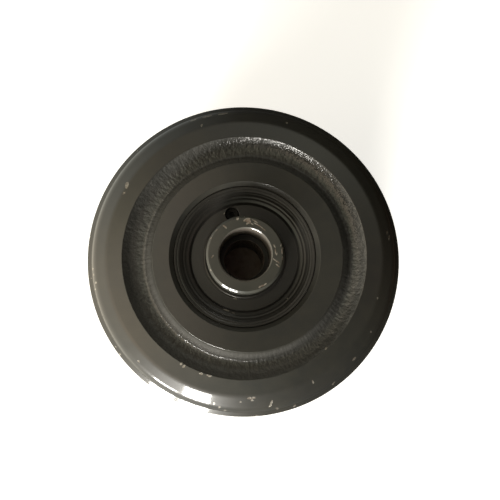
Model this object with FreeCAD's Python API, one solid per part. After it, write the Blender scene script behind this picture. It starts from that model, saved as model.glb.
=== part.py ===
import FreeCAD, Part
import math
import os
from FreeCAD import Vector

# Sealed track roller: two forged and welded shell halves that turn on a fixed
# shaft. Millimetres. Origin at the roller's centre, +Z along the spin axis
# towards the outboard end. The inboard end is the mirror image of the
# outboard end, apart from the oil fill hole, which only one end has.

# ---------------------------------------------------------------- shaft
SHAFT_R = 18.0            # shaft radius at collars and bushes
SHAFT_HALF = 86.0         # half of the shaft's length
SHAFT_CHAMFER = 1.0       # outer end chamfer
SHAFT_WAIST_R = 17.2      # relieved middle, holds oil
SHAFT_WAIST_HALF = 13.0
CBORE_R = 12.0            # clearance counterbore for an M22 bolt
CBORE_DEPTH = 22.0
CBORE_LEAD = 0.5          # chamfer at the counterbore's mouth
TAP_R = 9.65              # minor radius of M22 x 2.5
TAP_DEPTH = 30.0          # below the counterbore
TAP_TIP = 5.8             # drill cone

# ---------------------------------------------------------------- shell
HUB_FACE_Z = 79.1         # machined hub face
HUB_BORE_R = 33.6         # runs round the collar
HUB_MOUTH_R = 35.2        # chamfered edge of the recess
GROOVE_IN_R = 44.4        # forged groove, inner edge on the hub face
GROOVE_IN_DX = 1.33       # the forged wall is out of true with the turning
GROOVE_IN_DY = -0.20
GROOVE_FLOOR_Z = 72.0
GROOVE_OUT_R = 57.2       # forged groove, outer edge
GROOVE_OUT_Z = 75.8
RIM_START_R = 65.4        # end ring face, outer edge
RIM_START_Z = 73.5
RIM_CONE_R = 70.9         # lower edge of the conical bevel
RIM_CONE_Z = 69.5
RIM_CREASE_R = 73.0       # foot of the rounded rim
RIM_CREASE_Z = 66.2
FLANGE_R = 75.0
FLANGE_TOP_Z = 64.0
FLANGE_LOW_Z = 56.0
TREAD_R = 58.0            # running surface for the track rails
TREAD_TOP_Z = 50.0
TREAD_LOW_Z = 19.0
WAIST_R = 42.0            # reduced middle between the two treads
WAIST_Z = 11.0
RESERVOIR_R = 26.0        # oil space in the middle
RESERVOIR_HALF = 15.0
WELD_ROOT_R = 36.0        # V-shaped preparation for the girth weld
WELD_HALF_TOP = 4.2
WELD_CROWN_R = 43.2

# ---------------------------------------------------------------- bush
BUSH_R = 20.0             # press fit in the shell
BUSH_BORE_R = 18.05       # running fit on the shaft
BUSH_LOW_Z = 18.0
BUSH_FLANGE_R = 24.0
BUSH_FLANGE_T = 2.0
BOSS_FACE_Z = 48.0        # the shell's face under the bush flange

# ---------------------------------------------------------------- end float
WASHER_IN_R = 18.1
WASHER_R = 23.5
WASHER_T = 1.5
END_PLAY = 0.25

# ---------------------------------------------------------------- seals
SEAL_Z = 58.0             # plane where the two seal faces meet
SEAL_FILM = 0.05          # half of the oil film between the faces
SEAL_R = 29.4
SEAL_BORE_R = 24.7
TORIC_R = 28.1
TORIC_WIRE_R = 2.2
TORIC_OFF = 5.3           # toric centre from the seal plane
SEAT_R_MOUTH = 30.6       # seat ramp
SEAT_R_DEEP = 30.0

# ---------------------------------------------------------------- collar
COLLAR_R = 33.2
COLLAR_FLOOR_Z = 72.2
COLLAR_RIM_Z = 59.8       # lower edge of the outer wall
COLLAR_ROOF_Z = 67.6      # roof of the seal cavity
COLLAR_HUB_R = 22.6
FILL_HOLE_R = 2.9
FILL_HOLE_PCR = 22.0
FILL_HOLE_DIR = (-0.27, 0.963)
PLUG_TOP_Z = 69.6
PLUG_LENGTH = 3.3

# stepped cone turned into the collar's outer face, from rim to floor
COLLAR_STEPS = [
    (33.2, 76.9), (32.9, 77.4), (32.2, 77.35), (31.75, 76.95), (31.6, 76.6),
    (31.35, 76.9), (30.8, 77.0), (30.3, 76.2), (30.1, 75.9), (29.5, 75.8),
    (29.05, 75.05), (28.9, 74.9), (28.1, 74.85), (27.35, 74.1), (27.2, 73.95),
    (26.0, 73.85), (25.3, 72.5), (25.15, 72.2),
]

# ---------------------------------------------------------------- small parts
SNAP_WIRE_R = 1.0
SNAP_R = 18.6
SNAP_Z = 73.25
SNAP_GAP_DEG = 22.0
SNAP_GAP_AT = 40.0
ORING_Z = 60.0
ORING_GROOVE_R = 16.0
ORING_GROOVE_W = 3.2
ORING_W = 2.8

ORIGIN = Vector(0, 0, 0)
AXIS = Vector(0, 0, 1)


def v(p):
    return Vector(p[0], 0, p[1])


def outline(points):
    """Closed wire in the r-z plane. A point is (r, z) or (r, z, fillet)."""
    n = len(points)
    starts, ends, mids = [], [], []
    for i in range(n):
        p = points[i]
        if len(p) < 3 or p[2] <= 0:
            starts.append(v(p))
            ends.append(v(p))
            mids.append(None)
            continue
        a, b, c = v(points[i - 1]), v(p), v(points[(i + 1) % n])
        u = (a - b).normalize()
        w = (c - b).normalize()
        half = math.acos(max(-1.0, min(1.0, u.dot(w)))) / 2.0
        t = p[2] / math.tan(half)
        q = (u + w).normalize()
        centre = b + q * (p[2] / math.sin(half))
        starts.append(b + u * t)
        ends.append(b + w * t)
        mids.append(centre - q * p[2])
    edges = []
    for i in range(n):
        if mids[i] is not None:
            edges.append(Part.Arc(starts[i], mids[i], ends[i]).toShape())
        j = (i + 1) % n
        if (ends[i] - starts[j]).Length > 1e-6:
            edges.append(Part.LineSegment(ends[i], starts[j]).toShape())
    return Part.Wire(edges)


def turned(points, angle=360.0):
    face = Part.Face(outline(points))
    s = face.revolve(ORIGIN, AXIS, angle)
    if s.ShapeType != "Solid":
        s = s.Solids[0]
    if s.Volume < 0:
        s.reverse()
    return s


def one(shape):
    shape = shape.removeSplitter()
    solids = shape.Solids
    assert len(solids) == 1, len(solids)
    s = solids[0]
    assert s.isValid() and s.Volume > 0
    return s


def flip(shape):
    return shape.mirror(ORIGIN, AXIS)


# ------------------------------------------------------------------ shell
def make_shell():
    # arc of the groove's outer wall, tangent to the floor
    rho = 10.7
    g0 = GROOVE_OUT_R - rho * math.sin(math.radians(50.0))
    wall = []
    for k in range(1, 6):
        a = math.radians(10.0 * k)
        wall.append((g0 + rho * math.sin(a), GROOVE_FLOOR_Z + rho * (1 - math.cos(a))))
    wall[-1] = (GROOVE_OUT_R, GROOVE_OUT_Z)

    weld_slope = WELD_HALF_TOP / (WAIST_R - WELD_ROOT_R)
    pts = [
        (RESERVOIR_R, 0.0),
        (WELD_ROOT_R, 0.0),
        (WAIST_R, weld_slope * (WAIST_R - WELD_ROOT_R)),
        (WAIST_R, WAIST_Z, 5.0),
        (54.2, TREAD_LOW_Z - 1.0, 1.5),
        (TREAD_R - 0.3, TREAD_LOW_Z + 3.0, 2.5),
        (TREAD_R, TREAD_TOP_Z - 2.5, 3.0),
        (62.0, TREAD_TOP_Z + 1.9, 3.0),
        (FLANGE_R, FLANGE_LOW_Z, 2.0),
        (FLANGE_R, FLANGE_TOP_Z, 0.5),
        (RIM_CREASE_R, RIM_CREASE_Z),
        (RIM_CONE_R, RIM_CONE_Z, 3.0),
        (RIM_START_R, RIM_START_Z, 3.0),
        (GROOVE_OUT_R + 0.6, GROOVE_OUT_Z + 0.02, 0.5),
    ]
    pts += list(reversed(wall))
    pts += [
        (g0, GROOVE_FLOOR_Z),
        (43.0, GROOVE_FLOOR_Z),
        (43.0, HUB_FACE_Z),
        (HUB_MOUTH_R, HUB_FACE_Z),
        (HUB_BORE_R, HUB_FACE_Z - 1.3),
        (HUB_BORE_R, SEAL_Z + 1.2),
        (SEAT_R_MOUTH + 0.5, SEAL_Z + 1.2),
        (SEAT_R_MOUTH, SEAL_Z - 0.4),
        (SEAT_R_DEEP, BOSS_FACE_Z + 0.0, 1.8),
        (BUSH_R, BOSS_FACE_Z),
        (BUSH_R, RESERVOIR_HALF + 2.0),
        (RESERVOIR_R, RESERVOIR_HALF - 2.0),
    ]
    body = turned(pts)

    # forged hub wall, slightly eccentric to the turned faces
    boss = turned([
        (40.0, GROOVE_FLOOR_Z - 1.5),
        (51.0, GROOVE_FLOOR_Z - 1.5),
        (50.6, GROOVE_FLOOR_Z - 0.15),
        (48.6, GROOVE_FLOOR_Z + 0.55),
        (46.9, GROOVE_FLOOR_Z + 2.5),
        (GROOVE_IN_R, HUB_FACE_Z),
        (40.0, HUB_FACE_Z),
    ])
    boss.translate(Vector(GROOVE_IN_DX, GROOVE_IN_DY, 0))
    return one(body.fuse(boss))


# ------------------------------------------------------------------ weld
def make_weld():
    gap = 0.0
    return one(turned([
        (WELD_ROOT_R, 0.0),
        (WAIST_R, -WELD_HALF_TOP + gap),
        (WAIST_R + 0.15, -WELD_HALF_TOP - 0.3),
        (WAIST_R + 0.75, -2.6),
        (WELD_CROWN_R, -0.9),
        (WELD_CROWN_R, 0.9),
        (WAIST_R + 0.75, 2.6),
        (WAIST_R + 0.15, WELD_HALF_TOP + 0.3),
        (WAIST_R, WELD_HALF_TOP - gap),
    ]))


# ------------------------------------------------------------------ shaft
def make_shaft():
    bottom = SHAFT_HALF - CBORE_DEPTH - TAP_DEPTH
    upper = [
        (0.0, bottom - TAP_TIP),
        (TAP_R, bottom),
        (TAP_R, SHAFT_HALF - CBORE_DEPTH),
        (CBORE_R, SHAFT_HALF - CBORE_DEPTH),
        (CBORE_R, SHAFT_HALF - CBORE_LEAD),
        (CBORE_R + CBORE_LEAD, SHAFT_HALF),
        (SHAFT_R - SHAFT_CHAMFER, SHAFT_HALF),
        (SHAFT_R, SHAFT_HALF - SHAFT_CHAMFER),
        (SHAFT_R, ORING_Z + ORING_GROOVE_W / 2.0),
        (ORING_GROOVE_R, ORING_Z + ORING_GROOVE_W / 2.0),
        (ORING_GROOVE_R, ORING_Z - ORING_GROOVE_W / 2.0),
        (SHAFT_R, ORING_Z - ORING_GROOVE_W / 2.0),
        (SHAFT_R, SHAFT_WAIST_HALF + 0.8),
        (SHAFT_WAIST_R, SHAFT_WAIST_HALF),
    ]
    lower = [(r, -z) for r, z in reversed(upper)]
    body = turned(upper + lower)
    for z in (SNAP_Z, -SNAP_Z):
        ring = Part.makeTorus(SNAP_R, SNAP_WIRE_R, Vector(0, 0, z), AXIS)
        body = body.cut(ring)
    return one(body)


# ------------------------------------------------------------------ collar
def make_collar(fill_hole):
    washer_top = BOSS_FACE_Z + BUSH_FLANGE_T + END_PLAY + WASHER_T
    pts = [
        (SHAFT_R, washer_top),
        (COLLAR_HUB_R - 0.6, washer_top),
        (COLLAR_HUB_R, washer_top + 0.6),
        (COLLAR_HUB_R, COLLAR_ROOF_Z, 0.8),
        (SEAT_R_DEEP, COLLAR_ROOF_Z, 1.8),
        (SEAT_R_MOUTH, SEAL_Z + 2.4),
        (SEAT_R_MOUTH + 0.5, COLLAR_RIM_Z),
        (COLLAR_R - 0.3, COLLAR_RIM_Z),
        (COLLAR_R, COLLAR_RIM_Z + 0.3),
    ] + COLLAR_STEPS + [(SHAFT_R, COLLAR_FLOOR_Z)]
    body = turned(pts)
    if fill_hole:
        d = math.hypot(*FILL_HOLE_DIR)
        at = Vector(FILL_HOLE_PCR * FILL_HOLE_DIR[0] / d, FILL_HOLE_PCR * FILL_HOLE_DIR[1] / d, 64.0)
        body = body.cut(Part.makeCylinder(FILL_HOLE_R, 20.0, at, AXIS))
    return one(body)


def make_plug():
    d = math.hypot(*FILL_HOLE_DIR)
    at = Vector(FILL_HOLE_PCR * FILL_HOLE_DIR[0] / d, FILL_HOLE_PCR * FILL_HOLE_DIR[1] / d, PLUG_TOP_Z - PLUG_LENGTH)
    plug = Part.makeCylinder(FILL_HOLE_R - 0.02, PLUG_LENGTH, at, AXIS)
    hexagon = []
    for k in range(7):
        a = math.radians(60.0 * k)
        hexagon.append(Vector(at.x + 1.45 * math.cos(a), at.y + 1.45 * math.sin(a), PLUG_TOP_Z - 2.2))
    socket = Part.Face(Part.makePolygon(hexagon)).extrude(Vector(0, 0, 3.0))
    plug = plug.cut(socket)
    return one(plug)


# ------------------------------------------------------------------ seals
def make_seal_ring(side):
    """side +1: static ring above the seal plane; -1: rotating ring below."""
    def at(r, t):
        return (r, SEAL_Z + side * (SEAL_FILM + t))
    pts = [
        at(SEAL_BORE_R, 0.6), at(26.6, 0.35), at(27.2, 0.0), at(SEAL_R, 0.0),
        at(SEAL_R, 2.4), at(26.5, 3.2), at(25.9, 5.3), at(25.8, 7.0),
        at(26.3, 7.6), at(26.3, 7.9), at(SEAL_BORE_R, 7.9),
    ]
    if side < 0:
        pts = list(reversed(pts))
    return one(turned(pts))


def make_toric(side):
    return Part.makeTorus(TORIC_R, TORIC_WIRE_R, Vector(0, 0, SEAL_Z + side * TORIC_OFF), AXIS).Solids[0]


# ------------------------------------------------------------------ bush, washer, rings
def make_bush():
    top = BOSS_FACE_Z + BUSH_FLANGE_T
    return one(turned([
        (BUSH_BORE_R, BUSH_LOW_Z + 0.5),
        (BUSH_BORE_R + 0.5, BUSH_LOW_Z),
        (BUSH_R - 0.5, BUSH_LOW_Z),
        (BUSH_R, BUSH_LOW_Z + 0.8),
        (BUSH_R, BOSS_FACE_Z),
        (BUSH_FLANGE_R, BOSS_FACE_Z),
        (BUSH_FLANGE_R, top),
        (BUSH_BORE_R + 0.7, top),
        (BUSH_BORE_R, top - 0.7),
    ]))


def make_washer():
    z0 = BOSS_FACE_Z + BUSH_FLANGE_T + END_PLAY
    return one(turned([
        (WASHER_IN_R, z0), (WASHER_R, z0), (WASHER_R, z0 + WASHER_T), (WASHER_IN_R, z0 + WASHER_T),
    ]))


def make_snap_ring():
    wire = Part.Wire([Part.Circle(Vector(SNAP_R, 0, SNAP_Z), Vector(0, 1, 0), SNAP_WIRE_R).toShape()])
    s = Part.Face(wire).revolve(ORIGIN, AXIS, 360.0 - SNAP_GAP_DEG)
    s = s if s.ShapeType == "Solid" else s.Solids[0]
    s.rotate(ORIGIN, AXIS, SNAP_GAP_AT + SNAP_GAP_DEG / 2.0)
    if s.Volume < 0:
        s.reverse()
    return s


def make_oring():
    h = ORING_W / 2.0
    return one(turned([
        (ORING_GROOVE_R, ORING_Z - h, 0.8), (SHAFT_R, ORING_Z - h, 0.8),
        (SHAFT_R, ORING_Z + h, 0.8), (ORING_GROOVE_R, ORING_Z + h, 0.8),
    ]))


def main():
    os.makedirs("parts", exist_ok=True)
    shell = make_shell()
    bush = make_bush()
    washer = make_washer()
    snap = make_snap_ring()
    oring = make_oring()
    ring_static = make_seal_ring(+1)
    ring_rotating = make_seal_ring(-1)
    toric_static = make_toric(+1)
    toric_rotating = make_toric(-1)
    parts = {
        "shell_outboard": shell,
        "shell_inboard": flip(shell),
        "shell_weld_seam": make_weld(),
        "shaft": make_shaft(),
        "bush_outboard": bush,
        "bush_inboard": flip(bush),
        "collar_outboard": make_collar(True),
        "collar_inboard": flip(make_collar(False)),
        "oil_fill_plug": make_plug(),
        "seal_ring_static_outboard": ring_static,
        "seal_ring_static_inboard": flip(ring_static),
        "seal_ring_rotating_outboard": ring_rotating,
        "seal_ring_rotating_inboard": flip(ring_rotating),
        "toric_static_outboard": toric_static,
        "toric_static_inboard": flip(toric_static),
        "toric_rotating_outboard": toric_rotating,
        "toric_rotating_inboard": flip(toric_rotating),
        "shaft_oring_outboard": oring,
        "shaft_oring_inboard": flip(oring),
        "snap_ring_outboard": snap,
        "snap_ring_inboard": flip(snap),
        "thrust_washer_outboard": washer,
        "thrust_washer_inboard": flip(washer),
    }
    for name, shape in parts.items():
        shape.exportStep("parts/" + name + ".step")
        b = shape.BoundBox
        print(name, round(shape.Volume / 1000.0, 3), "cm3",
              [round(x, 2) for x in (b.XMin, b.XMax, b.YMin, b.YMax, b.ZMin, b.ZMax)],
              shape.isValid(), shape.ShapeType)


main()
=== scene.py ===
import bpy
import math
import numpy as np
from mathutils import Matrix, Vector


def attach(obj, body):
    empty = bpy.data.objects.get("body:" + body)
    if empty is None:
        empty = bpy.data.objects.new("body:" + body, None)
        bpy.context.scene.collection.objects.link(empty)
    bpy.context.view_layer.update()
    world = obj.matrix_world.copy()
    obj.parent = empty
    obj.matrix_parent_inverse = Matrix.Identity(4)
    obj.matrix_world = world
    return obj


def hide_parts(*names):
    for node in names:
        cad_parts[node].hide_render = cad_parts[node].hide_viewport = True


# Looks of a sealed track roller. Lengths are worked out in millimetres and
# written to the meshes in metres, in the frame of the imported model.

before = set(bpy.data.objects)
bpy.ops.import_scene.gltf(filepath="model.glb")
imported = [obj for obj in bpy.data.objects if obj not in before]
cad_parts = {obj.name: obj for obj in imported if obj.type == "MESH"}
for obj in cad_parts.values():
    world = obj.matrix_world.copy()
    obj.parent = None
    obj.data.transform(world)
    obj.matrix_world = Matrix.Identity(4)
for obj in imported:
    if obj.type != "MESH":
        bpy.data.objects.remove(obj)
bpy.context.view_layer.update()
MM = 0.001
SC = bpy.context.scene
HOLE = (21.5 * -0.27, 21.5 * 0.963)

# --------------------------------------------------------------------------
# noise on numpy arrays
# --------------------------------------------------------------------------
_rng = np.random.default_rng(4711)
_PERM = _rng.permutation(512)
_GRAD = _rng.normal(size=(512, 3))
_GRAD /= np.linalg.norm(_GRAD, axis=1)[:, None]


def noise(x, y, z, seed=0.0):
    """Gradient noise, about -0.8 to 0.8, with features one unit long."""
    x = np.asarray(x, float) + seed * 19.19
    y = np.asarray(y, float) + seed * 7.31
    z = np.asarray(z, float) - seed * 3.77
    x, y, z = np.broadcast_arrays(x, y, z)
    xi, yi, zi = (np.floor(a).astype(np.int64) for a in (x, y, z))
    fx, fy, fz = x - xi, y - yi, z - zi
    u, v, w = (f * f * f * (f * (f * 6 - 15) + 10) for f in (fx, fy, fz))

    def g(dx, dy, dz):
        h = _PERM[(_PERM[(_PERM[(xi + dx) & 511] + yi + dy) & 511] + zi + dz) & 511]
        q = _GRAD[h]
        return q[..., 0] * (fx - dx) + q[..., 1] * (fy - dy) + q[..., 2] * (fz - dz)

    def mix(a, b, t):
        return a + (b - a) * t

    return mix(
        mix(mix(g(0, 0, 0), g(1, 0, 0), u), mix(g(0, 1, 0), g(1, 1, 0), u), v),
        mix(mix(g(0, 0, 1), g(1, 0, 1), u), mix(g(0, 1, 1), g(1, 1, 1), u), v),
        w,
    ) * 1.3


def fbm(x, y, z, octaves=3, seed=0.0, gain=0.5):
    total, amp, f = 0.0, 1.0, 1.0
    for k in range(octaves):
        total = total + amp * noise(x * f, y * f, z * f, seed + 1.7 * k)
        amp *= gain
        f *= 2.03
    return total


def smooth(a, b, x):
    t = np.clip((np.asarray(x, float) - a) / (b - a), 0, 1)
    return t * t * (3 - 2 * t)


# --------------------------------------------------------------------------
# turned bodies
# --------------------------------------------------------------------------
def sample(points, pitch=6.0, support=0.12, closed=True):
    """Points of an r-z outline. A point is (r, z, fillet, pitch of the run that
    follows, tag of that run). Returns r, z and the tag of each sample."""
    pts = [tuple(p) + (0.0, None, "")[len(p) - 2:] for p in points]
    n = len(pts)
    xy = np.array([[p[0], p[1]] for p in pts], float)
    enter, leave, arcs = [], [], []
    for i in range(n):
        b = xy[i]
        f = pts[i][2]
        if not closed and i in (0, n - 1):
            f = 0.0
        if f <= 0:
            enter.append(b), leave.append(b), arcs.append([b])
            continue
        a, c = xy[i - 1], xy[(i + 1) % n]
        u = (a - b) / np.linalg.norm(a - b)
        w = (c - b) / np.linalg.norm(c - b)
        half = math.acos(float(np.clip(u @ w, -1, 1))) / 2
        t = f / math.tan(half)
        q = (u + w) / np.linalg.norm(u + w)
        centre = b + q * (f / math.sin(half))
        p0, p1 = b + u * t, b + w * t
        a0 = math.atan2(*(p0 - centre)[::-1])
        a1 = math.atan2(*(p1 - centre)[::-1])
        d = (a1 - a0 + math.pi) % (2 * math.pi) - math.pi
        k = max(2, int(math.ceil(abs(d) / math.radians(16 if f < 1 else 9 if f < 5.5 else 3.5))))
        arcs.append([centre + f * np.array([math.cos(a0 + d * s / k), math.sin(a0 + d * s / k)]) for s in range(k + 1)])
        enter.append(p0), leave.append(p1)
    rs, tags = [], []
    last = n if closed else n - 1
    for i in range(n):
        for q in arcs[i]:
            rs.append(q)
            tags.append(pts[i][4] if pts[i][2] <= 0 else (pts[i][4] or ""))
        if i >= last:
            break
        p, q = leave[i], enter[(i + 1) % n]
        length = np.linalg.norm(q - p)
        step = pts[i][3] or pitch
        s = [0.0, length]
        if length > 4 * support:
            s = [0.0, support, length - support, length]
        inner = max(1, int(round((s[-2] - s[1]) / step))) if length > 4 * support else 1
        if length > 4 * support:
            s = [support + (length - 2 * support) * j / inner for j in range(inner + 1)]
        else:
            s = []
        for d in s:
            rs.append(p + (q - p) * d / length)
            tags.append(pts[i][4])
    out, keep = [rs[0]], [tags[0]]
    for q, t in zip(rs[1:], tags[1:]):
        if np.linalg.norm(q - out[-1]) > 1e-4:
            out.append(q)
            keep.append(t)
    if closed and np.linalg.norm(out[0] - out[-1]) < 1e-4:
        out.pop(), keep.pop()
    return np.array(out), keep


def outline_normals(p, closed=True):
    if closed:
        d = np.roll(p, -1, 0) - np.roll(p, 1, 0)
    else:
        d = np.gradient(p, axis=0)
    n = np.stack([d[:, 1], -d[:, 0]], 1)
    n /= np.maximum(np.linalg.norm(n, axis=1), 1e-9)[:, None]
    area = 0.5 * np.sum(p[:, 0] * np.roll(p[:, 1], -1) - np.roll(p[:, 0], -1) * p[:, 1])
    return n if area > 0 else -n


def build(name, co, faces, body, node, material, attrs=None, sharp=35.0):
    me = bpy.data.meshes.new(name)
    me.from_pydata((np.asarray(co) * MM).tolist(), [], faces)
    me.validate()
    for key, values in (attrs or {}).items():
        a = me.attributes.new(key, "FLOAT", "POINT")
        a.data.foreach_set("value", np.asarray(values, np.float32))
    me.update()
    # outward faces
    v = np.asarray(co)
    vol = 0.0
    for f in (faces[i] for i in range(0, len(faces))):
        a, b, c = v[f[0]], v[f[1]], v[f[2]]
        vol += a[0] * (b[1] * c[2] - b[2] * c[1]) - a[1] * (b[0] * c[2] - b[2] * c[0]) + a[2] * (b[0] * c[1] - b[1] * c[0])
        if len(f) == 4:
            b, c = v[f[2]], v[f[3]]
            vol += a[0] * (b[1] * c[2] - b[2] * c[1]) - a[1] * (b[0] * c[2] - b[2] * c[0]) + a[2] * (b[0] * c[1] - b[1] * c[0])
    if vol < 0:
        me.flip_normals()
    me.polygons.foreach_set("use_smooth", [True] * len(me.polygons))
    me.set_sharp_from_angle(angle=math.radians(sharp))
    me.materials.append(material)
    ob = bpy.data.objects.new(name, me)
    SC.collection.objects.link(ob)
    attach(ob, body)
    if node:
        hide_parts(node)
    return ob


def grid_faces(rows, cols, closed_rows, pole_start=False, pole_end=False):
    """Faces of a grid of rings (rows) by angle (cols). Poles are single points."""
    faces = []
    index = []
    at = 0
    for k in range(rows):
        single = (k == 0 and pole_start) or (k == rows - 1 and pole_end)
        index.append((at, single))
        at += 1 if single else cols
    span = rows if closed_rows else rows - 1
    for k in range(span):
        (a, sa), (b, sb) = index[k], index[(k + 1) % rows]
        for j in range(cols):
            i = (j + 1) % cols
            if sa:
                faces.append((a, b + i, b + j))
            elif sb:
                faces.append((a + j, a + i, b))
            else:
                faces.append((a + j, a + i, b + i, b + j))
    return faces


def turned(name, points, segs, body, node, material, flip=False, shape=None,
           attrs=None, pitch=6.0, support=0.12, sharp=35.0, closed=True):
    """A body of revolution. shape(p, n, tags, theta) returns (dr, dz, extra r)
    arrays of ring by angle; attrs(R, T, Z, tags) returns vertex attributes."""
    p, tags = sample(points, pitch, support, closed)
    n = outline_normals(p, closed)
    th = np.arange(segs) * 2 * math.pi / segs
    K = len(p)
    R = np.repeat(p[:, :1], segs, 1)
    Z = np.repeat(p[:, 1:], segs, 1)
    T = np.repeat(th[None], K, 0)
    if shape is not None:
        dn, er = shape(R, T, Z, tags)
        R2 = R + er + dn * n[:, :1]
        Z2 = Z + dn * n[:, 1:]
    else:
        R2, Z2 = R, Z
    sgn = -1.0 if flip else 1.0
    co = np.stack([R2 * np.cos(T), R2 * np.sin(T), sgn * Z2], -1)
    poles = not closed
    rows = []
    vals = attrs(R, T, Z, tags, co) if attrs else {}
    flat = {k: [] for k in vals}
    for k in range(K):
        if poles and k in (0, K - 1):
            rows.append(np.array([[0.0, 0.0, co[k, 0, 2]]]))
            for key in vals:
                flat[key].append(vals[key][k, :1])
        else:
            rows.append(co[k])
            for key in vals:
                flat[key].append(vals[key][k])
    faces = grid_faces(K, segs, closed, poles, poles)
    return build(name, np.concatenate(rows), faces, body, node, material,
                 {k: np.concatenate(v) for k, v in flat.items()}, sharp)


# --------------------------------------------------------------------------
# node materials
# --------------------------------------------------------------------------
class Graph:
    def __init__(self, name):
        self.mat = bpy.data.materials.new(name)
        self.mat.use_nodes = True
        self.nt = self.mat.node_tree
        self.nt.nodes.clear()
        self.out = self.nt.nodes.new("ShaderNodeOutputMaterial")
        self.bsdf = self.nt.nodes.new("ShaderNodeBsdfPrincipled")
        self.nt.links.new(self.bsdf.outputs[0], self.out.inputs[0])
        tc = self.nt.nodes.new("ShaderNodeTexCoord")
        self.pos = tc.outputs["Object"]
        sep = self.nt.nodes.new("ShaderNodeSeparateXYZ")
        self.nt.links.new(self.pos, sep.inputs[0])
        self.x, self.y, self.z = sep.outputs

    def put(self, socket, value):
        if isinstance(value, bpy.types.NodeSocket):
            self.nt.links.new(value, socket)
        elif value is not None:
            socket.default_value = value

    def set(self, name, value):
        self.put(self.bsdf.inputs[name], value)

    def math(self, op, a, b=None, c=None, clamp=False):
        n = self.nt.nodes.new("ShaderNodeMath")
        n.operation = op
        n.use_clamp = clamp
        for s, v in zip(n.inputs, (a, b, c)):
            self.put(s, v)
        return n.outputs[0]

    def add(self, *v):
        t = v[0]
        for x in v[1:]:
            t = self.math("ADD", t, x)
        return t

    def mul(self, *v):
        t = v[0]
        for x in v[1:]:
            t = self.math("MULTIPLY", t, x)
        return t

    def ramp(self, v, lo, hi, a=0.0, b=1.0):
        n = self.nt.nodes.new("ShaderNodeMapRange")
        n.interpolation_type = "SMOOTHSTEP"
        self.put(n.inputs[0], v)
        for s, x in zip(list(n.inputs)[1:5], (lo, hi, a, b)):
            self.put(s, x)
        return n.outputs[0]

    def noise(self, scale, detail=2.0, rough=0.5, stretch=None, distort=0.0):
        n = self.nt.nodes.new("ShaderNodeTexNoise")
        n.inputs["Scale"].default_value = scale
        n.inputs["Detail"].default_value = detail
        n.inputs["Roughness"].default_value = rough
        n.inputs["Distortion"].default_value = distort
        src = self.pos
        if stretch:
            m = self.nt.nodes.new("ShaderNodeMapping")
            m.inputs["Scale"].default_value = stretch
            self.nt.links.new(self.pos, m.inputs["Vector"])
            src = m.outputs[0]
        self.nt.links.new(src, n.inputs["Vector"])
        return n.outputs["Fac"]

    def voronoi(self, scale, feature="F1"):
        n = self.nt.nodes.new("ShaderNodeTexVoronoi")
        n.feature = feature
        n.inputs["Scale"].default_value = scale
        self.nt.links.new(self.pos, n.inputs["Vector"])
        return n.outputs["Distance"]

    def attr(self, name):
        n = self.nt.nodes.new("ShaderNodeAttribute")
        n.attribute_name = name
        return n.outputs["Fac"]

    def radius(self):
        return self.math("SQRT", self.add(self.mul(self.x, self.x), self.mul(self.y, self.y)))

    def polar_noise(self, scale_r, scale_t, detail=2.0):
        """Noise drawn out round the axis: scale_r across it, scale_t along it."""
        r = self.radius()
        k = self.math("DIVIDE", 1.0, self.math("MAXIMUM", r, 0.002))
        c = self.nt.nodes.new("ShaderNodeCombineXYZ")
        self.put(c.inputs[0], self.mul(self.x, k, scale_t))
        self.put(c.inputs[1], self.mul(self.y, k, scale_t))
        self.put(c.inputs[2], self.mul(self.add(r, self.mul(self.z, 0.7)), scale_r))
        n = self.nt.nodes.new("ShaderNodeTexNoise")
        n.inputs["Scale"].default_value = 1.0
        n.inputs["Detail"].default_value = detail
        self.nt.links.new(c.outputs[0], n.inputs["Vector"])
        return n.outputs["Fac"]

    def mix(self, f, a, b):
        n = self.nt.nodes.new("ShaderNodeMix")
        n.data_type = "RGBA"
        self.put(n.inputs[0], f)
        self.put(n.inputs[6], a)
        self.put(n.inputs[7], b)
        return n.outputs[2]

    def bump(self, height, distance=1.0, strength=1.0):
        n = self.nt.nodes.new("ShaderNodeBump")
        n.inputs["Strength"].default_value = strength
        n.inputs["Distance"].default_value = distance
        self.put(n.inputs["Height"], height)
        return n.outputs[0]


def rgb(r, g, b):
    return (r, g, b, 1.0)


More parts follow.
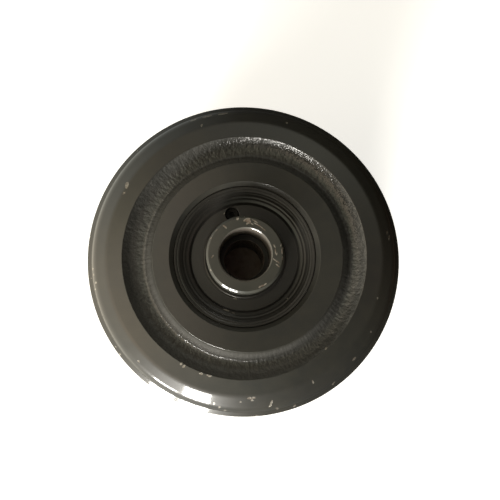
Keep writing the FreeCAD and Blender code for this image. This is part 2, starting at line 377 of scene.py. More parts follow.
def paint_material(name, forged=True, turned_marks=0.5, base=(0.027, 0.0268, 0.0236), coat=0.9, rough=0.36, gloss=0.085, bore=False):
    """Black enamel over forged and turned steel, chipped to primer and steel."""
    g = Graph(name)
    big = g.noise(26.0, 3.0, 0.6)
    patch = g.noise(210.0, 3.0, 0.55)
    fine = g.noise(1500.0, 2.0, 0.6)
    tone = g.ramp(g.add(g.mul(big, 0.7), g.mul(patch, 0.3)), 0.35, 0.65)
    col = g.mix(tone, rgb(base[0] * 0.92, base[1] * 0.93, base[2] * 0.95), rgb(base[0] * 1.12, base[1] * 1.09, base[2] * 1.04))
    # dust caught in the paint
    dust = g.ramp(g.noise(2600.0, 1.0, 0.5), 0.70, 0.80)
    col = g.mix(g.mul(dust, 0.22), col, rgb(0.11, 0.104, 0.09))
    # chips, and on the collar some painted highlights drawn as chips: the soft attribute is broken up by noise, so its
    # edge is ragged
    wear = g.attr("wear")
    ragged = g.add(wear, g.mul(g.add(g.noise(1900.0, 3.0, 0.65), -0.5), 0.55))
    chip = g.ramp(ragged, 0.44, 0.56)
    metal = g.mix(g.ramp(g.noise(800.0, 2.0, 0.6), 0.4, 0.6), rgb(0.25, 0.235, 0.205), rgb(0.14, 0.12, 0.10))
    col = g.mix(chip, col, metal)
    if forged:
        fl = g.mul(g.attr("forged"), g.math("SUBTRACT", 1.0, chip))
        col = g.mix(fl, col, g.mix(tone, rgb(0.040, 0.040, 0.037), rgb(0.052, 0.051, 0.047)))
    cover = coat
    if bore:
        # the inside of the filling hole is painted near-black as painted shade, with no coat and a rougher finish; on
        # the inboard collar, whose z is negative, the same near-black patch lands on its face at the hole's x and y,
        # where there is no hole
        dx = g.add(g.x, -HOLE[0] * MM)
        dy = g.add(g.y, -HOLE[1] * MM)
        near = g.ramp(g.math("SQRT", g.add(g.mul(dx, dx), g.mul(dy, dy))), 0.0034, 0.0032)
        hole_shade = g.mul(near, g.ramp(g.z, 0.0721, 0.0717))
        col = g.mix(hole_shade, col, rgb(0.004, 0.0038, 0.0034))
        cover = g.mul(coat, g.math("SUBTRACT", 1.0, hole_shade))
        rough = g.add(rough, g.mul(hole_shade, 0.3))
    g.set("Base Color", col)
    if forged:
        rough = g.add(rough, g.mul(g.attr("forged"), 0.06))
    r = g.add(rough, g.mul(g.add(patch, -0.5), 0.10), g.mul(g.add(fine, -0.5), 0.06), g.mul(chip, -0.08))
    g.set("Roughness", g.math("MAXIMUM", r, 0.2))
    g.set("Metallic", g.mul(chip, 0.35))
    g.set("Specular IOR Level", 0.30)
    g.set("Coat Weight", cover)
    g.set("Coat Roughness", gloss)
    g.set("Coat IOR", 1.5)
    # relief, in metres
    h = g.add(
        g.mul(g.add(g.noise(620.0, 1.0, 0.5), -0.5), 6.0e-6),
        g.mul(g.add(fine, -0.5), 1.3e-6),
        g.mul(chip, -2.5e-5),
    )
    if turned_marks:
        t = g.attr("turned")
        line = g.polar_noise(2600.0, 1.6, 2.0)
        h = g.add(h, g.mul(t, g.add(line, -0.5), 3.2e-6 * turned_marks))
    if forged:
        f = g.attr("forged")
        f1 = g.add(g.polar_noise(420.0, 42.0, 3.0), -0.5)
        f2 = g.add(g.noise(900.0, 3.0, 0.6), -0.5)
        h = g.add(h, g.mul(f, g.add(g.mul(f1, 3.2e-4), g.mul(f2, 1.8e-4))))
    b = g.bump(h)
    g.set("Normal", b)
    g.set("Coat Normal", b)
    return g.mat


def steel_material(name, base, rough=0.32, turn=0.6, stain=0.5, metallic=1.0, scratch=0.4):
    g = Graph(name)
    big = g.noise(70.0, 3.0, 0.6)
    line = g.polar_noise(3300.0, 1.4, 3.0)
    tone = g.add(g.mul(big, 0.5), g.mul(line, 0.5))
    dark = tuple(c * 0.62 for c in base)
    col = g.mix(g.ramp(tone, 0.35, 0.65), rgb(*dark), rgb(*base))
    spots = g.ramp(g.noise(420.0, 4.0, 0.65), 0.58, 0.70)
    col = g.mix(g.mul(spots, stain), col, rgb(base[0] * 0.35, base[1] * 0.27, base[2] * 0.2))
    g.set("Base Color", col)
    g.set("Metallic", metallic)
    g.set("Roughness", g.add(rough, g.mul(g.add(big, -0.5), 0.16), g.mul(g.add(line, -0.5), 0.14)))
    h = g.add(g.mul(g.add(line, -0.5), 3.0e-6 * turn), g.mul(g.add(g.noise(1400.0, 2.0, 0.6), -0.5), 1.5e-6 * scratch))
    g.set("Normal", g.bump(h))
    return g.mat


def rubber_material(name):
    g = Graph(name)
    n1 = g.noise(900.0, 3.0, 0.6)
    col = g.mix(g.ramp(n1, 0.4, 0.62), rgb(0.012, 0.012, 0.013), rgb(0.022, 0.021, 0.020))
    bloom = g.ramp(g.noise(120.0, 4.0, 0.6), 0.55, 0.75)
    col = g.mix(g.mul(bloom, 0.3), col, rgb(0.05, 0.048, 0.045))
    g.set("Base Color", col)
    g.set("Roughness", g.add(0.5, g.mul(g.add(n1, -0.5), 0.2)))
    g.set("Normal", g.bump(g.mul(g.add(g.noise(3000.0, 2.0, 0.5), -0.5), 3.0e-6)))
    return g.mat


M_PAINT = paint_material("paint_black_enamel")
M_COLLAR = paint_material("paint_collar_satin", forged=False, turned_marks=3.5, base=(0.012, 0.0113, 0.0098), coat=1.0, rough=0.44, gloss=0.22, bore=True)
M_WELD = paint_material("paint_weld_bead", turned_marks=0.0, base=(0.034, 0.034, 0.031), coat=0.8, rough=0.36)


def deep(g):
    """One in the tapped hole, nought in the counterbore."""
    return g.ramp(g.math("ABSOLUTE", g.z), 0.0655, 0.0625)


def shaft_material():
    g = Graph("shaft_painted_worn")
    paint = g.attr("paint")
    wear = g.attr("wear")
    big = g.noise(60.0, 3.0, 0.6)
    fine = g.noise(1500.0, 2.0, 0.6)
    line = g.polar_noise(3000.0, 1.4, 3.0)
    black = g.mix(g.ramp(big, 0.35, 0.65), rgb(0.038, 0.039, 0.033), rgb(0.047, 0.046, 0.039))
    steel = g.mix(g.ramp(line, 0.36, 0.64), rgb(0.20, 0.178, 0.152), rgb(0.29, 0.262, 0.225))
    brown = g.ramp(g.noise(260.0, 4.0, 0.65), 0.47, 0.66)
    steel = g.mix(g.mul(brown, 0.45), steel, rgb(0.16, 0.12, 0.095))
    steel = g.mix(deep(g), steel, g.mix(brown, rgb(0.35, 0.265, 0.235), rgb(0.29, 0.21, 0.185)))
    # darker, with less coat, over the lower part of the counterbore, its ledge and the thread crests below it
    ledge_dark = g.mul(g.ramp(g.math("ABSOLUTE", g.z), 0.0715, 0.0660), g.ramp(g.radius(), 0.0096, 0.0098))
    steel = g.mix(ledge_dark, steel, rgb(0.018, 0.0155, 0.014))
    rag = g.add(wear, g.mul(g.add(g.noise(2100.0, 3.0, 0.65), -0.5), 0.5))
    chip = g.ramp(rag, 0.42, 0.58)
    tan = g.mix(g.ramp(g.noise(900.0, 3.0, 0.6), 0.42, 0.60), rgb(0.27, 0.25, 0.215), rgb(0.145, 0.11, 0.085))
    top = g.mix(chip, black, tan)
    g.set("Base Color", g.mix(paint, steel, top))
    bare = g.math("SUBTRACT", 1.0, paint)
    g.set("Metallic", g.add(g.mul(bare, g.math("SUBTRACT", 1.0, deep(g)), 0.25), g.mul(paint, chip, 0.25)))
    g.set("Roughness", g.add(g.mul(paint, 0.46), g.mul(bare, 0.40), g.mul(g.add(fine, -0.5), 0.08), g.mul(g.add(line, -0.5), 0.08)))
    g.set("Specular IOR Level", 0.2)
    g.set("Coat Weight", g.mul(0.7, g.math("SUBTRACT", 1.0, g.mul(ledge_dark, 0.8))))
    g.set("Coat Roughness", 0.10)
    h = g.add(
        g.mul(paint, g.add(g.noise(620.0, 1.0, 0.5), -0.5), 6.0e-6),
        g.mul(g.add(line, -0.5), 2.6e-6),
        g.mul(paint, chip, -2.5e-5),
        g.mul(g.add(fine, -0.5), 1.2e-6),
    )
    b = g.bump(h)
    g.set("Normal", b)
    g.set("Coat Normal", b)
    return g.mat


M_SHAFT = shaft_material()
M_BRONZE = steel_material("bush_bronze_turned", (0.56, 0.37, 0.17), rough=0.34)
M_WASHER = steel_material("washer_bronze_ground", (0.52, 0.36, 0.18), rough=0.36)
M_SEAL = steel_material("seal_iron_lapped", (0.36, 0.36, 0.37), rough=0.26, stain=0.25)
M_SPRING = steel_material("spring_wire_oiled", (0.05, 0.047, 0.043), rough=0.34, turn=0.1, stain=0.35, metallic=0.7)
M_PLUG = steel_material("plug_black_oxide", (0.005, 0.0048, 0.0045), rough=0.8, turn=0.3, stain=0.3, metallic=0.0)
M_RUBBER = rubber_material("nitrile_rubber")


# --------------------------------------------------------------------------
# wear marks, on the collar also painted highlights: (x, y, half length, half width, direction in degrees), mm
# --------------------------------------------------------------------------
def marks(X, Y, table, thin=0.42):
    out = np.zeros_like(X)
    for x, y, a, b, deg in table:
        c, s = math.cos(math.radians(deg)), math.sin(math.radians(deg))
        u = ((X - x) * c + (Y - y) * s) / (a + 0.1)
        v = (-(X - x) * s + (Y - y) * c) / max(b * 1.1, thin)
        out = np.maximum(out, np.minimum(1.0, 1.7 * np.exp(-(u * u + v * v) * 1.1)))
    return out


FLANGE_MARKS = [
    (-55.7, 34.2, 1.5, 0.75, 80), (-56.9, 30.4, 0.6, 0.3, 40), (-20.5, 63.4, 0.75, 0.28, 75),
    (2.2, -65.8, 0.9, 0.34, 5), (4.2, -65.6, 0.8, 0.30, -15), (3.4, -66.8, 0.6, 0.2, -40),
    (12.5, -68.2, 1.5, 0.32, 72), (12.0, -69.5, 0.8, 0.28, 50), (15.5, -70.9, 0.7, 0.25, -30),
    (31.9, -58.3, 0.75, 0.22, -55), (42.3, -59.2, 0.8, 0.28, 60), (23.9, -69.8, 0.5, 0.25, 30),
    (-14.3, -68.5, 0.5, 0.2, 40), (-11.7, -70.1, 0.55, 0.22, 55), (-9.0, -71.7, 0.45, 0.25, 20), (-1.8, -67.6, 0.35, 0.25, 0),
    (-59.1, -45.4, 0.6, 0.3, 45), (-49.5, -48.7, 0.5, 0.25, -40), (-70.1, -11.7, 0.45, 0.4, 80), (-71.9, -5.2, 0.5, 0.35, 85),
    (-70.6, -14.8, 0.35, 0.3, 80), (-71.4, -8.0, 0.35, 0.3, 80), (-17.9, 68.7, 2.2, 0.16, 14), (-10.4, 70.0, 2.4, 0.16, 9), (-24.5, 67.0, 1.6, 0.16, 21),
    (51.7, -47.6, 1.1, 0.14, 45), (62.6, -19.2, 0.4, 0.25, 60), (20.4, 65.3, 0.5, 0.2, -20), (69.0, 9.9, 1.2, 0.14, 75), (68.0, 12.2, 0.8, 0.12, 75),
    (59.7, -35.0, 0.5, 0.2, 60), (-29.4, -49.8, 0.75, 0.26, 52), (-28.2, -51.0, 0.75, 0.24, 52),
    (37.8, -42.7, 0.6, 0.3, 45), (-20.2, -54.4, 0.8, 0.14, -14), (-16.5, -55.4, 1.2, 0.13, -16),
]
SHAFT_MARKS = [
    (-3.6, 16.5, 0.75, 0.5, 80), (0.6, 15.9, 1.5, 0.55, 20), (1.5, 15.0, 0.9, 0.8, 60), (0.9, 14.3, 0.7, 0.3, 60),
    (4.4, 15.2, 1.4, 0.16, -32), (5.0, 13.9, 1.5, 0.16, -32), (6.4, 13.1, 1.6, 0.14, -34), (8.3, 11.6, 1.1, 0.12, -40), (3.0, 14.0, 0.7, 0.2, -35),
    (-9.6, 12.9, 0.75, 0.25, -25), (-9.0, 12.2, 0.4, 0.2, -30), (-13.2, 11.1, 0.6, 0.18, 48), (-15.7, 7.4, 0.4, 0.15, 62),
    (13.3, 3.7, 0.9, 0.16, -62), (13.7, 1.2, 1.3, 0.12, -86), (14.3, 0.2, 0.5, 0.2, 80), (14.4, -3.3, 1.6, 0.16, -38), (14.8, -5.2, 1.2, 0.13, -42), (13.2, -2.4, 0.8, 0.12, -40),
    (16.8, 1.6, 1.3, 0.28, 88), (17.0, -1.8, 0.8, 0.2, 88), (16.4, 4.4, 0.7, 0.2, 70),
    (6.6, -14.9, 0.65, 0.28, 40), (7.7, -14.4, 0.55, 0.3, 15), (8.9, -13.8, 0.75, 0.30, 35), (-15.0, -1.1, 0.7, 0.1, 60),
]


# --------------------------------------------------------------------------
# the shell halves
# --------------------------------------------------------------------------
RHO = 7.2
G0 = 50.35
WALL = [(G0 + RHO * math.sin(math.radians(a)), 72.0 + RHO * (1 - math.cos(math.radians(a))), 0, 9, "forged") for a in np.arange(3.0, 44.0, 3.6)]
WALL.append((G0 + RHO * math.sin(math.radians(44.0)), 72.0 + RHO * (1 - math.cos(math.radians(44.0))), 0, 0.45, "forged"))


def shell_points():
    pts = [
        (26.0, 0.0), (36.0, 0.0), (42.0, 4.2, 0.15, 1.6, "waist"), (42.0, 11.0, 5.0, 1.6, "waist"),
        (54.2, 18.0, 1.5, 2.0, "turned"), (57.7, 22.0, 2.5, 3.0, "turned"),
        (58.0, 47.5, 3.0, 1.2, "turned"), (62.0, 51.9, 3.0, 1.5, "turned"),
        (75.0, 56.0, 2.0, 1.5, "rim"), (75.0, 64.5, 0.4, 0.5, "rim"), (72.95, 66.05, 0.2, 0.5, "rim"),
        (71.85, 69.5, 7.0, 0.6, "rim"), (65.4, 73.5, 9.0, 0.62, "turned"),
        (57.35, 75.86, 0.35, 0.5, "forged"),
    ]
    pts += list(reversed(WALL))
    pts += [
        (G0, 72.0, 0, 0.6, "forged"), (48.3, 72.0, 2.6, 0.42, "forged"),
        (44.4, 79.1, 0.30, 0.75, "turned"),
        (35.25, 79.1, 0.15, 0.5, "turned"), (33.3, 77.0, 0.2, 4.0), (33.3, 74.0, 0.2), (33.6, 73.6, 0.1), (33.6, 59.2, 0.2),
        (31.1, 59.2, 0.15), (30.6, 57.6, 0.3, 3.0), (30.0, 48.0, 1.8), (20.0, 48.0, 0.25),
        (20.0, 17.0, 0.25), (26.0, 13.0, 0.5),
    ]
    return pts


def shell_half(name, flip, seed):
    def shape(R, T, Z, tags):
        is_forged = np.array([t == "forged" for t in tags], float)[:, None]
        is_waist = np.array([t == "waist" for t in tags], float)[:, None]
        top = Z > 60.0
        c, s = np.cos(T), np.sin(T)
        w = 50.0
        n1 = noise(c * w / 1.35, s * w / 1.35, R / 2.3, seed)
        n2 = noise(c * w / 0.75, s * w / 0.75, R / 1.2, seed + 3)
        n3 = fbm(c * w / 13.0, s * w / 13.0, Z / 6.0, 2, seed + 6)
        depth = np.minimum(smooth(44.5, 46.5, R), 1 - smooth(56.2, 57.3, R))
        dn = is_forged * top * depth * (0.12 * n1 + 0.06 * n2 + 0.10 * n3)
        # forged flash and scale round the waist
        m1 = fbm(c * 42 / 3.2, s * 42 / 3.2, Z / 3.2, 3, seed + 9)
        dn = dn + is_waist * 0.10 * m1 * (1 - smooth(14, 17, Z)) * smooth(3.9, 5.2, Z)
        # rolled rim and flange edge, hand-ground: a little uneven
        rim = smooth(70.0, 72.5, R) * (Z > 52)
        dn = dn - rim * 0.05 * (0.5 + 0.5 * fbm(c * 75 / 9.0, s * 75 / 9.0, Z / 5.0, 2, seed + 12))
        # the forged hub wall is out of true with the turned faces
        ecc = 1.33 * c - 0.20 * s
        we = np.where(R < 44.4, smooth(37.5, 44.0, R), 1 - smooth(48.6, 52.5, R)) * top
        # and its upper edge wanders a little
        edge = np.exp(-((R - 44.6) / 1.1) ** 2) * top
        er = ecc * we + edge * 0.16 * fbm(c * 44 / 4.0, s * 44 / 4.0, 0.0 * Z, 2, seed + 15)
        outer = np.exp(-((R - 57.3) / 0.8) ** 2) * top
        er = er + outer * 0.10 * fbm(c * 57 / 3.0, s * 57 / 3.0, 0.0 * Z, 2, seed + 17)
        return dn, er

    def attrs(R, T, Z, tags, co):
        f = np.array([1.0 if t == "forged" else (0.75 if t == "waist" else 0.0) for t in tags])[:, None] * np.ones_like(R)
        f = np.where(Z > 60, f * np.minimum(smooth(44.5, 45.6, R), 1 - smooth(56.9, 57.5, R)), f)
        t = np.array([1.0 if t == "turned" else (0.35 if t == "rim" else 0.0) for t in tags])[:, None] * np.ones_like(R)
        X, Y = co[..., 0], co[..., 1]
        c, s = np.cos(T), np.sin(T)
        # handling wear: light nicks on the flange edge and the groove's edges
        edge = smooth(72.6, 73.6, R) * (Z > 53) * np.clip(fbm(c * 75 / 2.6, s * 75 / 2.6, Z / 1.6, 2, seed + 21) - 0.42, 0, 1) * 2.2
        nick = np.exp(-((R - 44.5) / 0.45) ** 2) * (Z > 70) * np.clip(fbm(c * 44 / 1.7, s * 44 / 1.7, Z * 0, 2, seed + 23) - 0.50, 0, 1) * 2.0
        wear = np.maximum(edge, nick)
        if not flip:
            wear = np.maximum(wear, marks(X, Y, FLANGE_MARKS) * (Z > 60))
        else:
            far = [(x, -y, a, b, -d) for x, y, a, b, d in FLANGE_MARKS]
            wear = np.maximum(wear, marks(X, Y, far) * (Z > 60))
        return {"forged": f, "turned": t, "wear": np.clip(wear, 0, 1)}

    return turned(name + "_forged", shell_points(), 640, "roller", name, M_PAINT, flip, shape, attrs)


shell_half("shell_outboard", False, 1.0)
shell_half("shell_inboard", True, 31.0)


# --------------------------------------------------------------------------
# girth weld: overlapping ripples laid round the waist
# --------------------------------------------------------------------------
def weld():
    pts = [(36.0, 0.0), (42.0, -4.2, 0, 0.5, "bead"), (42.15, -4.5, 0, 0.5, "bead"), (42.75, -2.7, 1.5, 0.5, "bead"),
           (43.0, -0.8, 1.5, 0.5, "bead"), (43.0, 0.8, 1.5, 0.5, "bead"), (42.75, 2.7, 1.5, 0.5, "bead"),
           (42.15, 4.5, 0, 0.5, "bead"), (42.0, 4.2)]

    def shape(R, T, Z, tags):
        on = smooth(42.1, 42.5, R)
        lap = (T * 43.0 / 1.9 + 0.085 * Z * Z * 1.3 + 0.35 * noise(np.cos(T) * 9, np.sin(T) * 9, Z / 3.0, 5.0)) % 1.0
        ripple = (1 - smooth(0.0, 0.8, lap)) * smooth(0.0, 0.12, lap) - 0.5
        rough_ = fbm(np.cos(T) * 43 / 1.2, np.sin(T) * 43 / 1.2, Z / 1.2, 2, 8.0)
        return on * (0.16 * ripple + 0.05 * rough_ - 0.02), 0 * R

    def attrs(R, T, Z, tags, co):
        return {"forged": 0.35 * smooth(42.1, 42.4, R), "turned": 0 * R, "wear": 0 * R}

    turned("shell_weld_seam_bead", pts, 1400, "roller", "shell_weld_seam", M_WELD, False, shape, attrs, pitch=0.6, support=0.05)


weld()


# --------------------------------------------------------------------------
# shaft, with real threads in both ends
# --------------------------------------------------------------------------

def shaft():
    bottom, seat = 34.0, 64.0
    up = [
        (0.0, 28.2, 0, 3.0, "bare"), (9.65, bottom, 0, 0.25, "thread"), (9.65, seat, 0.1, 0.6, "bare"),
        (12.0, seat, 0.2, 1.2, "bare"), (12.0, 85.5, 0.12, 0.3, "lip"), (12.5, 86.0, 0.1, 0.26, "end"),
        (17.0, 86.0, 0.15, 0.3, "end"), (18.0, 85.0, 0.15, 1.0, "side"),
        (18.0, 74.05, 0.0, 0.3, "side"), (17.7, 73.6, 0, 0.3, "side"), (17.6, 73.25, 0, 0.3, "side"), (17.7, 72.9, 0, 0.3, "side"),
        (18.0, 72.45, 0.0, 2.0, "hidden"),
        (18.0, 61.6, 0.1, 1.0, "hidden"), (16.0, 61.6, 0.2, 1.0, "hidden"), (16.0, 58.4, 0.2, 1.0, "hidden"), (18.0, 58.4, 0.1, 6.0, "hidden"),
        (18.0, 13.8, 0.3, 0.4, "hidden"), (17.2, 13.0, 0.3, 3.0, "hidden"),
    ]
    down = [(r, -z) + tuple(rest) for r, z, *rest in reversed(up)]
    # a tag belongs to the run that follows its point, so shift the mirrored ones
    tags = [p[4] for p in up]
    steps = [p[3] for p in up]
    n = len(up)
    down = [(up[n - 1 - i][0], -up[n - 1 - i][1], up[n - 1 - i][2], steps[n - 2 - i] if i < n - 1 else 3.0, tags[n - 2 - i] if i < n - 1 else "bare") for i in range(n)]
    pts = up + down

    def shape(R, T, Z, tags_):
        A = np.abs(Z)
        t = np.array([x == "thread" for x in tags_], float)[:, None]
        inside = smooth(bottom + 0.2, bottom + 2.4, A) * (1 - smooth(seat - 1.6, seat - 0.3, A)) * (R < 9.7)
        turn = T / (2 * math.pi) * np.where(Z > 0, 1.0, -1.0)
        ph = (A / 2.5 - turn) % 1.0
        tri = np.clip(1.35 * (1 - np.abs(2 * ph - 1)) * 1.25 - 0.14, 0, 1.35)
        er = t * inside * tri
        # the ends are faced and then knocked about in handling
        c, s = np.cos(T), np.sin(T)
        rim = np.exp(-((R - 17.6) / 0.5) ** 2) * (A > 84.5)
        dn = -rim * 0.07 * np.clip(fbm(c * 18 / 1.6, s * 18 / 1.6, A * 0, 2, 41.0) - 0.1, 0, 1)
        return dn, er

    def attrs(R, T, Z, tags_, co):
        A = np.abs(Z)
        ends = ((A > 71.0) & (R > 12.45)).astype(float)
        lip = 0.8 * ((A > 85.0) & (R <= 12.45)).astype(float)
        X, Y = co[..., 0], co[..., 1]
        c, s = np.cos(T), np.sin(T)
        rub = np.clip(fbm(X / 2.2, Y / 2.2, 0 * X, 3, 51.0) - 0.42, 0, 1) * 1.2 * (A > 85.9)
        edge = np.exp(-((np.hypot(X, Y) - 17.4) / 0.35) ** 2) * (A > 84.9) * np.clip(fbm(c * 18 / 1.4, s * 18 / 1.4, 0 * A, 2, 53.0) - 0.15, 0, 1) * 1.6
        w = np.maximum(rub * 0.6, edge)
        w = np.where(Z > 0, np.maximum(w, marks(X, Y, SHAFT_MARKS, 0.2) * (A > 84.9)), np.maximum(w, marks(-X, Y, SHAFT_MARKS, 0.2) * 0.8 * (A > 84.9)))
        return {"paint": np.clip(ends + lip, 0, 1), "wear": np.clip(w, 0, 1)}

    turned("shaft_tapped", pts, 320, "axle", "shaft", M_SHAFT, False, shape, attrs, pitch=6.0, support=0.08, closed=False)


# --------------------------------------------------------------------------
# collars: stepped turned rings in the recess
# --------------------------------------------------------------------------
STEPS = [
    (33.2, 76.9, 0.1), (32.85, 77.35, 0.2), (32.0, 77.3, 0.2), (31.65, 77.0, 0.15), (31.35, 77.05, 0.15),
    (30.75, 77.0, 0.35), (30.15, 76.45, 0.1), (30.0, 76.15, 0.06), (29.8, 76.12, 0.1), (28.95, 75.25, 0.1),
    (28.8, 74.98, 0.06), (28.6, 74.98, 0.1), (28.1, 74.80, 0.25), (27.35, 74.15, 0.2), (26.9, 73.98, 0.2),
    (26.1, 73.80, 0.3), (25.5, 72.85, 0.2), (25.15, 72.2, 0.25),
]
# wear on the collar; the two flecks on the filling hole's rim towards +X and +Y and the thin line at x -8.6, y -24.8 mm
# are painted highlights
COLLAR_WEAR_AND_GLINTS = [(-4.6, 23.7, 0.55, 0.3, -50), (-3.9, 22.9, 0.4, 0.25, -60), (-9.6, 21.0, 0.5, 0.12, 60), (-8.6, -24.8, 1.3, 0.13, -19),
                (-5.2, -26.2, 0.7, 0.1, -11), (-4.4, -19.4, 0.8, 0.2, -12), (20.0, -19.4, 0.3, 0.2, 40)]


def collar(name, flip, hole):
    pts = [
        (18.0, 51.75, 0.2, 3.0, "hidden"), (22.3, 51.75, 0.3, 3.0, "hidden"), (22.6, 67.6, 0.8, 3.0, "hidden"),
        (30.0, 67.6, 1.8, 3.0, "hidden"), (30.6, 60.4, 0.2, 2.0, "hidden"), (31.1, 59.8, 0.1, 2.0, "hidden"),
        (33.0, 59.8, 0.2, 2.0, "hidden"),
    ] + [(r, z, f, 0.45, "turned") for r, z, f in STEPS] + [(18.0, 72.2, 0.0, 4.0, "hidden")]

    def attrs(R, T, Z, tags, co):
        t = np.array([1.0 if t == "turned" else 0.3 for t in tags])[:, None] * np.ones_like(R)
        c, s = np.cos(T), np.sin(T)
        ridge = np.zeros_like(R)
        for r0 in (32.9, 30.8, 28.1, 26.0):
            ridge = np.maximum(ridge, np.exp(-((R - r0) / 0.18) ** 2))
        w = ridge * (Z > 70) * np.clip(fbm(c * r0 / 1.5, s * r0 / 1.5, R, 2, 61.0) - 0.36, 0, 1) * 1.3
        if hole:
            # chips and painted highlights from the table above go into the wear attribute
            w = np.maximum(w, marks(co[..., 0], co[..., 1], COLLAR_WEAR_AND_GLINTS, 0.2) * (Z > 70))
        return {"forged": 0 * R, "turned": t, "wear": np.clip(w, 0, 1)}

    ob = turned(name + "_turned", pts, 480, "axle", name, M_COLLAR, flip, None, attrs, pitch=3.0, support=0.06)
    if hole:
        seg = 64
        rings = [(3.25, 60.0), (3.25, 71.95), (3.5, 72.2), (3.5, 73.4)]
        co, faces = [], []
        for r, z in rings:
            for j in range(seg):
                a = 2 * math.pi * j / seg
                co.append((HOLE[0] + r * math.cos(a), HOLE[1] + r * math.sin(a), z))
        for k in range(len(rings) - 1):
            for j in range(seg):
                i = (j + 1) % seg
                faces.append((k * seg + j, k * seg + i, (k + 1) * seg + i, (k + 1) * seg + j))
        faces.append(tuple(reversed(range(seg))))
        faces.append(tuple(range((len(rings) - 1) * seg, len(rings) * seg)))
        me = bpy.data.meshes.new("cutter")
        me.from_pydata((np.array(co) * MM).tolist(), [], faces)
        cut = bpy.data.objects.new("cutter", me)
        SC.collection.objects.link(cut)
        m = ob.modifiers.new("hole", "BOOLEAN")
        m.operation, m.solver, m.object = "DIFFERENCE", "EXACT", cut
        bpy.context.view_layer.update()
        dg = bpy.context.evaluated_depsgraph_get()
        new = bpy.data.meshes.new_from_object(ob.evaluated_get(dg))
        ob.modifiers.clear()
        ob.data = new
        bpy.data.objects.remove(cut)
        new.polygons.foreach_set("use_smooth", [True] * len(new.polygons))
        new.set_sharp_from_angle(angle=math.radians(30))
        new.update()
    return ob


shaft()
collar("collar_outboard", False, True)
collar("collar_inboard", True, False)

# --------------------------------------------------------------------------
# small parts keep their solids and get their finish
# --------------------------------------------------------------------------
FINISH = {
    "bush": M_BRONZE, "thrust_washer": M_WASHER, "seal_ring": M_SEAL, "toric": M_RUBBER,
    "shaft_oring": M_RUBBER, "snap_ring": M_SPRING, "oil_fill_plug": M_PLUG,
}
for node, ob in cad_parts.items():
    for key, mat in FINISH.items():
        if node.startswith(key):
            for sl in ob.material_slots:
                sl.material = mat
            if not ob.material_slots:
                ob.data.materials.append(mat)

# --------------------------------------------------------------------------
# floor, light, camera
# --------------------------------------------------------------------------
FLOOR_Z = -0.0861
me = bpy.data.meshes.new("floor")
me.from_pydata([(-4, -4, FLOOR_Z), (4, -4, FLOOR_Z), (4, 4, FLOOR_Z), (-4, 4, FLOOR_Z)], [], [(0, 1, 2, 3)])
floor = bpy.data.objects.new("floor", me)
SC.collection.objects.link(floor)
g = Graph("floor_pale")
g.set("Base Color", g.mix(g.noise(6.0, 3.0, 0.6), rgb(0.80, 0.80, 0.79), rgb(0.84, 0.84, 0.83)))
g.set("Roughness", 0.8)
g.set("Specular IOR Level", 0.1)
g.set("Emission Color", rgb(1.0, 1.0, 0.99))
g.set("Emission Strength", 0.60)
me.materials.append(g.mat)
floor.visible_glossy = False
floor.visible_diffuse = False


def window(name, az0, az1, el0, el1, radiance, colour, dist=1.6):
    """A rectangular soft light seen from the roller between two azimuths
    (clockwise from +X, seen from above) and two elevations, in degrees."""
    az = math.radians((az0 + az1) / 2)
    w = 2 * dist * math.tan(math.radians((az1 - az0) / 2))
    z0, z1 = dist * math.tan(math.radians(el0)), dist * math.tan(math.radians(el1))
    base = Vector((dist * math.cos(az), -dist * math.sin(az), 0.072))
    lt = bpy.data.lights.new(name, "AREA")
    lt.shape = "RECTANGLE"
    lt.size, lt.size_y = w, z1 - z0
    lt.energy = radiance * math.pi * w * (z1 - z0)
    lt.color = colour
    ob = bpy.data.objects.new(name, lt)
    SC.collection.objects.link(ob)
    ob.location = base + Vector((0, 0, (z0 + z1) / 2))
    toward = Vector((-math.cos(az), math.sin(az), 0))
    ob.rotation_mode = "QUATERNION"
    ob.rotation_quaternion = toward.to_track_quat("-Z", "Y")
    ob.visible_camera = False
    return ob


window("window_tall", 103.5, 115.4, 3.0, 28.5, 57.0, (1.0, 0.965, 0.90))
window("window_low", 118.4, 129.5, 2.0, 15.0, 57.0, (1.0, 0.965, 0.90))

world = bpy.data.worlds.new("studio")
SC.world = world
world.use_nodes = True
nt = world.node_tree
nt.nodes.clear()


def wn(kind, **kw):
    n = nt.nodes.new(kind)
    for k, v in kw.items():
        setattr(n, k, v)
    return n


def wmath(op, a, b=None, clamp=False):
    n = wn("ShaderNodeMath", operation=op, use_clamp=clamp)
    for s, v in zip(n.inputs, (a, b)):
        if isinstance(v, bpy.types.NodeSocket):
            nt.links.new(v, s)
        elif v is not None:
            s.default_value = v
    return n.outputs[0]


def wrange(v, lo, hi, a=0.0, b=1.0):
    n = wn("ShaderNodeMapRange", interpolation_type="SMOOTHSTEP")
    nt.links.new(v, n.inputs[0])
    for s, x in zip(list(n.inputs)[1:5], (lo, hi, a, b)):
        s.default_value = x
    return n.outputs[0]


def wmix(f, a, b, blend="MIX"):
    n = wn("ShaderNodeMix", data_type="RGBA", blend_type=blend)
    for s, v in ((n.inputs[0], f), (n.inputs[6], a), (n.inputs[7], b)):
        if isinstance(v, bpy.types.NodeSocket):
            nt.links.new(v, s)
        else:
            s.default_value = v
    return n.outputs[2]


tc = wn("ShaderNodeTexCoord")
sep = wn("ShaderNodeSeparateXYZ")
nt.links.new(tc.outputs["Generated"], sep.inputs[0])
wx, wy, wz = sep.outputs
turn = wmath("FRACT", wmath("DIVIDE", wmath("ARCTAN2", wmath("MULTIPLY", wy, -1.0), wx), 2 * math.pi))
PEAK = 2.5


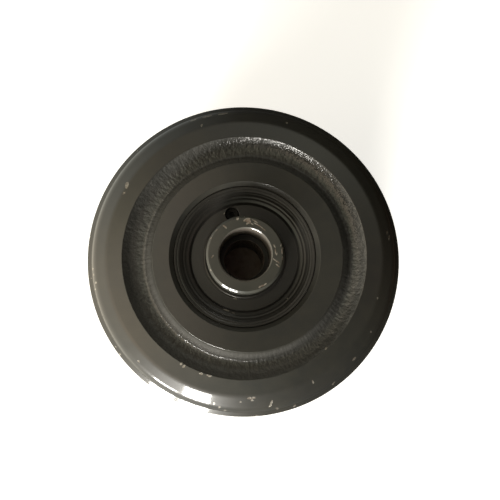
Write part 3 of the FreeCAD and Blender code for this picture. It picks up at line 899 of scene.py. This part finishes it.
def strip(values, source, spread):
    """A line of light levels, red green blue, evenly or freely spaced."""
    n = wn("ShaderNodeValToRGB")
    cr = n.color_ramp
    cr.interpolation = "LINEAR"
    while len(cr.elements) > 1:
        cr.elements.remove(cr.elements[-1])
    for i, (p, c) in enumerate(zip(spread, values)):
        e = cr.elements[0] if i == 0 else cr.elements.new(p)
        e.position = p
        e.color = tuple(v / PEAK for v in c) + (1.0,)
    nt.links.new(source, n.inputs[0])
    return n.outputs[0]


def ring(values):
    """Light levels round the horizon, clockwise from +X seen from above."""
    values = values + values[:1]
    return strip(values, turn, [i / (len(values) - 1) for i in range(len(values))])


low = ring([(0.045, 0.03, 0.02), (0.02, 0.02, 0.015), (0.04, 0.04, 0.04), (0.26, 0.27, 0.25), (1.0, 0.98, 0.90), (1.5, 1.4, 1.15),
            (1.80, 1.60, 1.26), (1.16, 1.12, 0.95), (0.42, 0.44, 0.41), (0.03, 0.03, 0.03), (0.02, 0.018, 0.012), (0.015, 0.010, 0.006)])
mid = ring([(0.10, 0.08, 0.07), (0.02, 0.03, 0.02), (0.02, 0.02, 0.02), (0.45, 0.45, 0.42), (1.00, 0.85, 0.66), (2.0, 1.62, 1.15),
            (1.75, 1.50, 1.16), (0.92, 0.81, 0.56), (0.45, 0.39, 0.31), (0.43, 0.43, 0.38), (0.58, 0.58, 0.49), (0.29, 0.28, 0.23)])
high = ring([(0.20, 0.13, 0.11), (0.02, 0.02, 0.02), (0.15, 0.20, 0.16), (0.85, 0.82, 0.64), (0.45, 0.42, 0.28), (0.05, 0.05, 0.04),
             (0.02, 0.02, 0.02), (0.05, 0.04, 0.03)])
across = wmath("DIVIDE", wmath("SUBTRACT", wx, -0.2), 0.4, clamp=True)
zenith = strip([(0.8, 0.95, 0.70), (1.02, 0.84, 0.68), (0.02, 0.02, 0.02), (0.02, 0.02, 0.02), (0.03, 0.04, 0.04)],
               across, [0.1, 0.35, 0.575, 0.75, 0.95])
env = wmix(wrange(wz, 0.375, 0.67), low, mid)
env = wmix(wrange(wz, 0.743, 0.883), env, high)
env = wmix(wrange(wz, 0.94, 0.985), env, zenith)
env = wmix(1.0, env, (PEAK, PEAK, PEAK, 1), "MULTIPLY")
path = wn("ShaderNodeLightPath")
seen = wmix(path.outputs["Is Camera Ray"], env, (0.93, 0.93, 0.925, 1))
bg = wn("ShaderNodeBackground")
nt.links.new(seen, bg.inputs[0])
out = wn("ShaderNodeOutputWorld")
nt.links.new(bg.outputs[0], out.inputs[0])

cam = bpy.data.cameras.new("camera")
cam.sensor_width = 36.0
cam.lens = 61.78
cam.shift_x, cam.shift_y = 0.02, 0.06
cam.clip_start, cam.clip_end = 0.01, 30.0
co = bpy.data.objects.new("camera", cam)
SC.collection.objects.link(co)
co.location = (-0.0121, -0.0461, 0.4749)
tx, ty = math.radians(5.04), math.radians(-1.42)
co.rotation_mode = "QUATERNION"
co.rotation_quaternion = (Matrix.Rotation(ty, 3, "Y") @ Matrix.Rotation(tx, 3, "X")).to_quaternion()
SC.camera = co

SC.view_settings.view_transform = "Standard"
SC.view_settings.look = "None"
